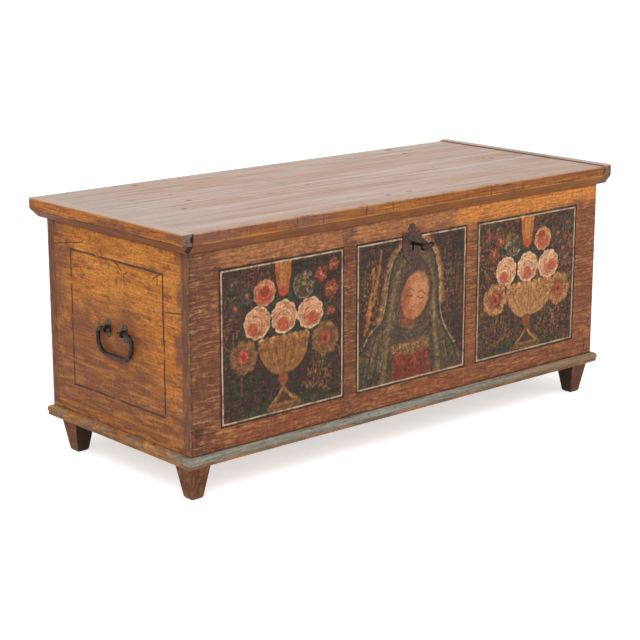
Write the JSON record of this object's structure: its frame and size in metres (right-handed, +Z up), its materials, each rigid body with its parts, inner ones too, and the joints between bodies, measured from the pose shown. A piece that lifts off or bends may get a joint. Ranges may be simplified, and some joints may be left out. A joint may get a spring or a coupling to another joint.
{
  "type": "trunk",
  "caption": "Low painted pine chest with a hinged lid, a keyed lock, a drop handle at each end, a small till inside and tapered feet.",
  "frame": {"origin": "on the floor, under the middle of the whole chest", "axes": "+X along the length to the right end, +Y from the front to the back, +Z up"},
  "size_m": [1.252, 0.573, 0.5465],
  "materials": {
    "painted_pine": "worn paint",
    "base_pine": "worn paint",
    "lid_pine": "scrubbed",
    "bare_pine": "unpainted",
    "wrought_iron": "dark forged"
  },
  "bodies": {
    "case": {"front_board": "painted_pine", "left_end_board": "painted_pine", "right_end_board": "painted_pine", "bottom_board_front": "base_pine", "bottom_board_middle": "base_pine", "bottom_board_back": "base_pine", "front_left_foot": "base_pine", "front_right_foot": "base_pine", "back_left_foot": "base_pine", "back_right_foot": "base_pine", "back_board": "bare_pine", "till_front": "bare_pine", "till_bottom": "bare_pine", "left_hinge_leaf": "wrought_iron", "right_hinge_leaf": "wrought_iron", "left_hinge_pin": "wrought_iron", "right_hinge_pin": "wrought_iron", "lock_plate": "wrought_iron", "lock_cover": "wrought_iron", "lock_spring": "wrought_iron", "escutcheon": "wrought_iron", "left_bail_staples": "wrought_iron", "right_bail_staples": "wrought_iron", "left_bail_plates": "wrought_iron", "right_bail_plates": "wrought_iron", "escutcheon_nails": "wrought_iron", "lock_nails": "wrought_iron", "hinge_leaf_nails": "wrought_iron", "bottom_nails": "wrought_iron"},
    "lid": {"lid_board_front": "lid_pine", "lid_board_back": "lid_pine", "left_cleat": "painted_pine", "right_cleat": "painted_pine", "lid_front_moulding": "painted_pine", "left_hinge_strap": "wrought_iron", "right_hinge_strap": "wrought_iron", "lid_staple": "wrought_iron", "staple_nails": "wrought_iron", "hinge_strap_nails": "wrought_iron", "moulding_nails": "wrought_iron"},
    "left_bail": {"left_bail": "wrought_iron"},
    "right_bail": {"right_bail": "wrought_iron"},
    "key": {"key": "wrought_iron"},
    "lock_bolt": {"lock_bolt": "wrought_iron"}
  },
  "joints": [
    {"name": "lid_hinge", "type": "hinge", "parent": "case", "child": "lid", "pos_m": [0, 0.2655, 0.512], "axis": [-1, 0, 0], "range_deg": [0, 100]},
    {"name": "left_bail_swing", "type": "hinge", "parent": "case", "child": "left_bail", "pos_m": [-0.608, 0.012, 0.301], "axis": [0, 1, 0], "range_deg": [0, 170]},
    {"name": "right_bail_swing", "type": "hinge", "parent": "case", "child": "right_bail", "pos_m": [0.608, 0.012, 0.301], "axis": [0, -1, 0], "range_deg": [0, 170]},
    {"name": "key_turn", "type": "hinge", "parent": "case", "child": "key", "pos_m": [0, -0.2305, 0.44], "axis": [0, -1, 0], "range_deg": [0, 142]},
    {"name": "bolt_slide", "type": "slide", "parent": "case", "child": "lock_bolt", "axis": [-1, 0, 0], "range_m": [0, 0.012]}
  ],
  "couplings": [
    {"joint": "key_turn", "follows": "bolt_slide", "rad_per_m": 206.5}
  ]
}
